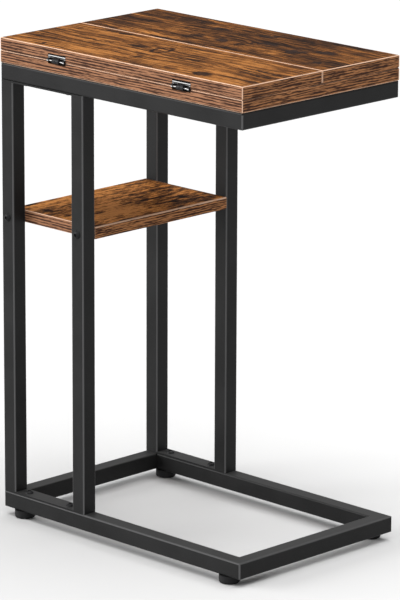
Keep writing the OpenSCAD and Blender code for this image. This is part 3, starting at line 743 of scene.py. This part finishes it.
class FastenerTree(Bench):
    """A Geometry Nodes tree that sets one fastener on each seat, along the seat's axis"""
    # Root diameters of the threads, as shares of their outer diameters
    bolt_root = 0.86
    screw_root = 0.68
    # Diameter of a domed head's rim and length of a recess's arms, as shares of the head's diameter
    rim_share = 0.985
    recess_span = 0.6
    # Radius of the recess's cone, as a share of an arm's width
    recess_cone = 1.3
    # Radius at a tip's end, as a share of the rod's
    tip_end = 0.06
    # Angle between two faces from which their edge is sharp
    sharp_angle = math.radians(28)

    def __init__(self, name, sizes):
        super().__init__(bpy.data.node_groups.new(name, "GeometryNodeTree"))
        self.tree.is_modifier = True
        self.declare("INPUT", "Geometry", "Seats")
        self.declare("INPUT", "Float", "Length", *sizes)
        self.declare("INPUT", "Int", "Seed")
        self.declare("INPUT", "Material", "Material")
        self.declare("OUTPUT", "Geometry", "Fasteners")
        self.given = self.inputs()

    def raised(self, geometry, z):
        return self.value("GeometryNodeTransform", geometry, self.joined(0.0, 0.0, z))

    def cylinder(self, radius, bottom, top, sides=32):
        made = self.value("GeometryNodeMeshCylinder", sides, 1, 1, radius, top - bottom)
        return self.raised(made, (top + bottom) * 0.5)

    def cut(self, body, *tools):
        """The body without the tools, or what the tools share where there is no body"""
        made = self.node("GeometryNodeMeshBoolean", operation="DIFFERENCE" if body else "INTERSECT",
                         solver="MANIFOLD")
        if body:
            self.feed(made.inputs["Mesh 1"], body)
        for tool in tools:
            self.feed(made.inputs["Mesh 2"], tool)
        return self.output(made)

    def dome(self, diameter, height, sides=48):
        """Domed head that stands on the seat: a slice of a ball with a short upright rim"""
        radius = diameter * 0.5
        ball_radius = (radius * radius + height * height) / (height * 2.0)
        ball = self.value("GeometryNodeMeshUVSphere", sides, sides, ball_radius)
        rim = self.cylinder(radius * self.rim_share, 0.0, height * 2.0, sides)
        return self.cut(None, self.raised(ball, height - ball_radius), rim)

    def crossed(self, head, top):
        """The head with a cross recess from the height top: two crossed bars and a cone are cut out"""
        span = self.given["Head Diameter"] * self.recess_span
        width, depth = self.given["Recess Width"], self.given["Recess Depth"]
        bars = [self.raised(self.value("GeometryNodeMeshCube", self.joined(x, y, depth)), top)
                for x, y in ((span, width), (width, span))]
        cone = self.value("GeometryNodeMeshCone", 12, 1, 1, width * self.recess_cone, 0.0, depth * 2.0)
        return self.cut(head, *bars, self.raised(cone, top - depth))

    def threaded(self, root_share, top, tip=None, sides=20, rows_per_turn=6):
        """Threaded rod down from the height top: the radius of each point follows the thread"""
        length, pitch = self.given["Length"], self.given["Pitch"]
        depth = length + top
        rows = self.math("ROUND", depth / pitch * rows_per_turn)
        rod = self.value("GeometryNodeMeshCylinder", sides, rows, 1, self.given["Thread"] * 0.5, depth)
        rod = self.raised(rod, top - depth * 0.5)
        x, y, z = self.parts(self.value("GeometryNodeInputPosition"))
        angle = self.math("ARCTAN2", y, x) / (2 * math.pi)
        flank = abs(self.math("FRACT", z / pitch - angle) * 2.0 - 1.0)
        above_end = z + length
        fade = self.least(above_end / pitch, -z / pitch, 1.0)
        share = flank * self.most(fade, 0.0) * (1.0 - root_share) + root_share
        if tip is not None:
            share = share * self.least(above_end / tip + self.tip_end, 1.0)
        return self.value("GeometryNodeSetPosition", rod, True, self.joined(x * share, y * share, z))

    def close(self, *bodies):
        """Joins the bodies of one fastener, shades them and sets a copy on each seat"""
        joined = self.node("GeometryNodeJoinGeometry")
        for body in reversed(bodies):
            self.feed(joined.inputs[0], body)
        smooth = self.value("GeometryNodeSetShadeSmooth", self.output(joined), True, True, domain="FACE")
        sharp = self.value("GeometryNodeInputMeshEdgeAngle").above(self.sharp_angle)
        crisp = self.value("GeometryNodeSetShadeSmooth", smooth, sharp, False, domain="EDGE")
        axis = self.value("GeometryNodeInputNamedAttribute", "axis", data_type="FLOAT_VECTOR")
        turn = self.value("FunctionNodeRandomValue", 0.0, 2 * math.pi, None, self.given["Seed"],
                          data_type="FLOAT")
        spin = self.value("FunctionNodeEulerToRotation", self.joined(0.0, 0.0, turn))
        placed = self.node("GeometryNodeInstanceOnPoints", self.given["Seats"])
        self.feed(placed.inputs["Instance"], crisp)
        self.feed(placed.inputs["Rotation"],
                  self.value("FunctionNodeAlignRotationToVector", spin, 1.0, axis, axis="Z"))
        real = self.value("GeometryNodeRealizeInstances", self.output(placed))
        real = self.value("GeometryNodeSetMaterial", real, True, self.given["Material"])
        self.node("NodeGroupOutput", real)
        return self.tree


def button_bolt_tree():
    """Button head bolt with a hexagon socket"""
    design = FastenerTree("button bolts", BUTTON_BOLT)
    height = design.given["Head Height"]
    head = design.dome(design.given["Head Diameter"], height)
    socket_floor = height * 0.4
    socket = design.cylinder(design.given["Key"] / math.sqrt(3), socket_floor, height * 1.5, sides=6)
    head = design.cut(head, socket)
    return design.close(head, design.threaded(design.bolt_root, height * 0.2))


def pan_screw_tree():
    """Pan head screw with a cross recess and a coarse thread"""
    design = FastenerTree("pan screws", PAN_SCREW)
    height = design.given["Head Diameter"] * 0.3
    head = design.crossed(design.dome(design.given["Head Diameter"], height, sides=40), height)
    rod = design.threaded(design.screw_root, height * 0.25, design.given["Tip"], sides=16)
    return design.close(head, rod)


def countersunk_screw_tree():
    """Countersunk screw with a cross recess: its head is flush with its seat"""
    design = FastenerTree("countersunk screws", COUNTERSUNK_SCREW)
    radius = design.given["Head Diameter"] * 0.5
    shank = design.given["Thread"] * 0.5
    depth = radius - shank
    cone = design.value("GeometryNodeMeshCone", 40, 1, 1, radius, shank, depth)
    head = design.crossed(design.raised(cone, -depth), 0.0)
    rod = design.threaded(design.screw_root, depth * -0.9, design.given["Tip"], sides=16)
    return design.close(head, rod)


def levelling_stud_tree():
    """Threaded stud with the disc that turns inside the foot pad"""
    design = FastenerTree("levelling studs", LEVELLING_STUD)
    bottom = -design.given["Length"]
    top = bottom + design.given["Disc Thickness"]
    disc = design.cylinder(design.given["Disc Diameter"] * 0.5, bottom, top, sides=40)
    return design.close(disc, design.threaded(design.bolt_root, 0.0, sides=24, rows_per_turn=8))


def seat_fasteners(replaced, kind, tree, seats, values, material, body):
    """Runs a fastener tree on its seats and keeps the result as one plain mesh"""
    name = f"{replaced}_{kind}"
    mesh = bpy.data.meshes.new(f"{name}_seats")
    mesh.from_pydata([point for point, _ in seats], [], [])
    axes = mesh.attributes.new("axis", "FLOAT_VECTOR", "POINT")
    for row, (_, axis) in zip(axes.data, seats):
        row.vector = axis
    seated = linked(f"{name}_seats", mesh)
    modifier = seated.modifiers.new("fasteners", "NODES")
    modifier.node_group = tree
    values = {**values, "Material": material}
    for item in tree.interface.items_tree:
        if item.in_out == "INPUT" and item.name in values:
            modifier[item.identifier] = values[item.name]
    graph = bpy.context.evaluated_depsgraph_get()
    graph.update()
    result = bpy.data.meshes.new_from_object(seated.evaluated_get(graph))
    if not result.polygons:
        raise RuntimeError(f"{name}: the tree made no faces")
    result.name = name
    result.attributes.remove(result.attributes["axis"])
    seated.modifiers.remove(modifier)
    bpy.data.objects.remove(seated)
    piece = linked(name, result)
    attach(piece, body)
    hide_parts(replaced)


class SIDETABLE_OT_finish_frame(bpy.types.Operator):
    """Powder coat the rails, posts and flat bars"""
    bl_idname = "side_table.finish_frame"
    bl_label = "Finish Frame"

    def execute(self, context):
        dress(FRAME_NODES, powder_coat(context.scene.side_table.metal))
        return {"FINISHED"}


class SIDETABLE_OT_finish_boards(bpy.types.Operator):
    """Give the leaves, the lower board and the shelf their rustic finish"""
    bl_idname = "side_table.finish_boards"
    bl_label = "Finish Boards"

    def execute(self, context):
        group = BoardGroup()
        for name in BOARDS:
            dress([name], board_material(name, context.scene.side_table.board, group))
        return {"FINISHED"}


class SIDETABLE_OT_finish_hinges(bpy.types.Operator):
    """Blacken the hinges, with thin painted highlights"""
    bl_idname = "side_table.finish_hinges"
    bl_label = "Finish Hinges"

    def execute(self, context):
        look = context.scene.side_table.metal
        for part, with_upper_highlights in (("base", False), ("arm", True), ("pin", False)):
            steel = hinge_steel(look, f"hinge {part}", with_upper_highlights)
            dress([f"hinge_{part}_{corner}" for corner in CORNERS], steel)
        dress(["hinge_grub_screws"], black_oxide(look, "grub screws"))
        return {"FINISHED"}


class SIDETABLE_OT_make_bolts(bpy.types.Operator):
    """Put the button head bolts into the frame and the shelf"""
    bl_idname = "side_table.make_bolts"
    bl_label = "Make Bolts"

    def execute(self, context):
        settings = context.scene.side_table
        sizes = settings.fasteners
        tree = button_bolt_tree()
        oxide = black_oxide(settings.metal, "blackened bolts")
        head_r = sizes.bolt_head_d / 2
        for name, length, faces in (
                ("base_bolts", sizes.frame_bolt_l, self.bar_faces("bottom", HIGH, UP)),
                ("top_bolts", sizes.frame_bolt_l, self.bar_faces("top", LOW, DOWN)),
                ("shelf_bolts", sizes.shelf_bolt_l, self.post_faces())):
            low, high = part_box(name)
            xs = (low[0] + head_r, high[0] - head_r)
            seats = [((x, y, z), axis) for y, z, axis in faces for x in xs]
            seat_fasteners(name, "button_head", tree, seats, sizes.tree_values(BUTTON_BOLT, length), oxide,
                           "frame")
        return {"FINISHED"}

    @staticmethod
    def bar_faces(end, face, axis):
        """Y, z and axis of the faces that the heads at one end of the posts bear on"""
        bars = [f"flat_bar_{side}_{end}" for side in SIDES]
        return [(middle(bar).y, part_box(bar)[face][2], axis) for bar in bars]

    @staticmethod
    def post_faces():
        """Y, z and axis of the faces that the heads beside the shelf bear on"""
        height = middle("shelf").z
        return [(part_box("post_near_outer")[LOW][1], height, (0, -1, 0)),
                (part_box("post_far_outer")[HIGH][1], height, (0, 1, 0))]


class SIDETABLE_OT_make_screws(bpy.types.Operator):
    """Put the screws into the boards and the hinges"""
    bl_idname = "side_table.make_screws"
    bl_label = "Make Screws"

    def execute(self, context):
        settings = context.scene.side_table
        zinc = zinc_plate(settings.metal)
        self.board_screws(settings.fasteners, zinc)
        self.hinge_screws(settings.fasteners, zinc)
        return {"FINISHED"}

    @staticmethod
    def board_screws(sizes, zinc):
        seat_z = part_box("top_rail_near")[LOW][2]
        xs = (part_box("post_near_inner")[HIGH][0] + sizes.screw_from_post,
              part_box("leaf_near")[HIGH][0] - sizes.screw_from_end)
        seats = [((x, middle(f"top_rail_{side}").y, seat_z), DOWN) for side in SIDES for x in xs]
        seats += [((middle(f"top_rail_{end}").x, 0, seat_z), DOWN) for end in ENDS]
        values = sizes.tree_values(PAN_SCREW, sizes.board_screw_l)
        seat_fasteners("board_screws", "pan_head", pan_screw_tree(), seats, values, zinc, "frame")

    @staticmethod
    def hinge_screws(sizes, zinc):
        tree = countersunk_screw_tree()
        values = sizes.tree_values(COUNTERSUNK_SCREW, sizes.hinge_screw_l)
        head_r = sizes.hinge_screw_head_d / 2
        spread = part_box("leaf_near_screws")[HIGH][0] - head_r - middle("hinge_arm_near_right").x
        base_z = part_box("hinge_base_screws")[HIGH][2]
        base_seats = []
        for side in SIDES:
            name = f"leaf_{side}_screws"
            y = middle(name).y
            arm_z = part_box(name)[LOW][2]
            arms = [middle(f"hinge_arm_{side}_{end}").x for end in ENDS]
            xs = [x + offset for x in arms for offset in (-spread, spread)]
            seat_fasteners(name, "countersunk", tree, [((x, y, arm_z), DOWN) for x in xs], values, zinc,
                           f"leaf_{side}")
            base_seats += [((x, y, base_z), UP) for x in xs]
        seat_fasteners("hinge_base_screws", "countersunk", tree, base_seats, values, zinc, "frame")


class SIDETABLE_OT_finish_inner_hardware(bpy.types.Operator):
    """Zinc plate the weld nuts and the shelf's inserts"""
    bl_idname = "side_table.finish_inner_hardware"
    bl_label = "Finish Nuts and Inserts"

    def execute(self, context):
        zinc = zinc_plate(context.scene.side_table.metal)
        dress(["base_weld_nuts", "top_weld_nuts", "foot_weld_nuts", "shelf_inserts"], zinc)
        return {"FINISHED"}


class SIDETABLE_OT_make_feet(bpy.types.Operator):
    """Finish the foot pads and thread their studs"""
    bl_idname = "side_table.make_feet"
    bl_label = "Make Feet"

    def execute(self, context):
        settings = context.scene.side_table
        dress([f"foot_pad_{corner}" for corner in CORNERS], moulded_rubber(settings.metal))
        zinc = zinc_plate(settings.metal)
        tree = levelling_stud_tree()
        for corner in CORNERS:
            name = f"foot_stud_{corner}"
            low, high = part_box(name)
            x, y, _ = middle(name)
            values = settings.fasteners.tree_values(LEVELLING_STUD, high[2] - low[2])
            seat_fasteners(name, "threaded", tree, [((x, y, high[2]), UP)], values, zinc, f"stud_{corner}")
        return {"FINISHED"}


class SIDETABLE_OT_set_stage(bpy.types.Operator):
    """Lay the floor, hang the lights and set up the camera"""
    bl_idname = "side_table.set_stage"
    bl_label = "Set Stage"

    def execute(self, context):
        look = context.scene.side_table.stage
        self.floor(look)
        self.lights(look)
        self.camera(context, look)
        self.sky(context, look)
        context.scene.view_settings.view_transform = "Standard"
        return {"FINISHED"}

    @staticmethod
    def floor(look):
        finish = Finish("studio floor")
        shade = finish.grain(0.002, 3.0)
        material = finish.painted({
            "Base Color": finish.mix(shade, rgba(look.floor), rgba(look.floor, 1.02)),
            "Roughness": 0.9,
            "Specular IOR Level": 0.0,
        })
        reach = look.reach
        mesh = bpy.data.meshes.new("studio_floor")
        mesh.from_pydata([(-reach, -reach, 0), (reach, -reach, 0), (reach, reach, 0), (-reach, reach, 0)],
                         [], [(0, 1, 2, 3)])
        mesh.materials.append(material)
        linked("studio_floor", mesh)

    @staticmethod
    def lights(look):
        for name, towards, spread in LIGHTS:
            lamp = bpy.data.lights.new(f"{name}_light", "SUN")
            lamp.energy = getattr(look, name)
            lamp.angle = math.radians(spread)
            hung = linked(f"{name}_light", lamp)
            hung.rotation_euler = Vector(towards).to_track_quat("Z", "Y").to_euler()

    @staticmethod
    def camera(context, look):
        """Aims the camera. At azimuth 0 it looks along +Y"""
        level = math.cos(look.elevation)
        back = Vector((math.sin(look.azimuth) * level, -math.cos(look.azimuth) * level,
                       math.sin(look.elevation)))
        right = Vector((math.cos(look.azimuth), math.sin(look.azimuth), 0.0))
        turn = Matrix((right, back.cross(right), back)).transposed() @ Matrix.Rotation(look.roll, 3, "Z")
        right, up, back = turn.transposed()
        centre = (Vector(CAD_BOX[LOW]) + Vector(CAD_BOX[HIGH])) / 2
        lens = bpy.data.cameras.new("camera")
        lens.lens = look.focal_pixels * lens.sensor_width / PHOTO_LONG_SIDE
        lens.clip_end = CLIP_END
        seen = linked("camera", lens)
        aim = centre + right * look.aim_right - up * look.aim_down
        seen.matrix_world = Matrix.Translation(aim + back * look.distance) @ turn.to_4x4()
        context.scene.camera = seen

    @staticmethod
    def sky(context, look):
        """White ground for the camera, and the sky's light for everything else"""
        world = bpy.data.worlds.new("studio")
        world.use_nodes = True
        world.node_tree.nodes.clear()
        bench = Bench(world.node_tree)
        to_camera = bench.output(bench.node("ShaderNodeLightPath"), "Is Camera Ray")
        lit = bench.value("ShaderNodeBackground", WHITE, look.sky)
        seen = bench.value("ShaderNodeBackground", WHITE, 1.0)
        bench.node("ShaderNodeOutputWorld", bench.value("ShaderNodeMixShader", to_camera, lit, seen))
        context.scene.world = world


STEPS = (
    SIDETABLE_OT_finish_frame,
    SIDETABLE_OT_finish_boards,
    SIDETABLE_OT_finish_hinges,
    SIDETABLE_OT_make_bolts,
    SIDETABLE_OT_make_screws,
    SIDETABLE_OT_finish_inner_hardware,
    SIDETABLE_OT_make_feet,
    SIDETABLE_OT_set_stage,
)


class SIDETABLE_PT_steps(bpy.types.Panel):
    """Steps that finish the side table, in order"""
    bl_idname = "SIDETABLE_PT_steps"
    bl_label = "Side Table"
    bl_space_type = "VIEW_3D"
    bl_region_type = "UI"
    bl_category = "Side Table"

    def draw(self, context):
        for step in STEPS:
            self.layout.operator(step.bl_idname)


CLASSES = (BoardLook, MetalLook, FastenerSizes, StageLook, SideTableSettings, *STEPS, SIDETABLE_PT_steps)


def register():
    for cls in CLASSES:
        bpy.utils.register_class(cls)
    bpy.types.Scene.side_table = PointerProperty(type=SideTableSettings)


def unregister():
    del bpy.types.Scene.side_table
    for cls in reversed(CLASSES):
        bpy.utils.unregister_class(cls)


def main():
    register()
    for step in STEPS:
        group, name = step.bl_idname.split(".")
        getattr(getattr(bpy.ops, group), name)()


if __name__ == "__main__":
    main()
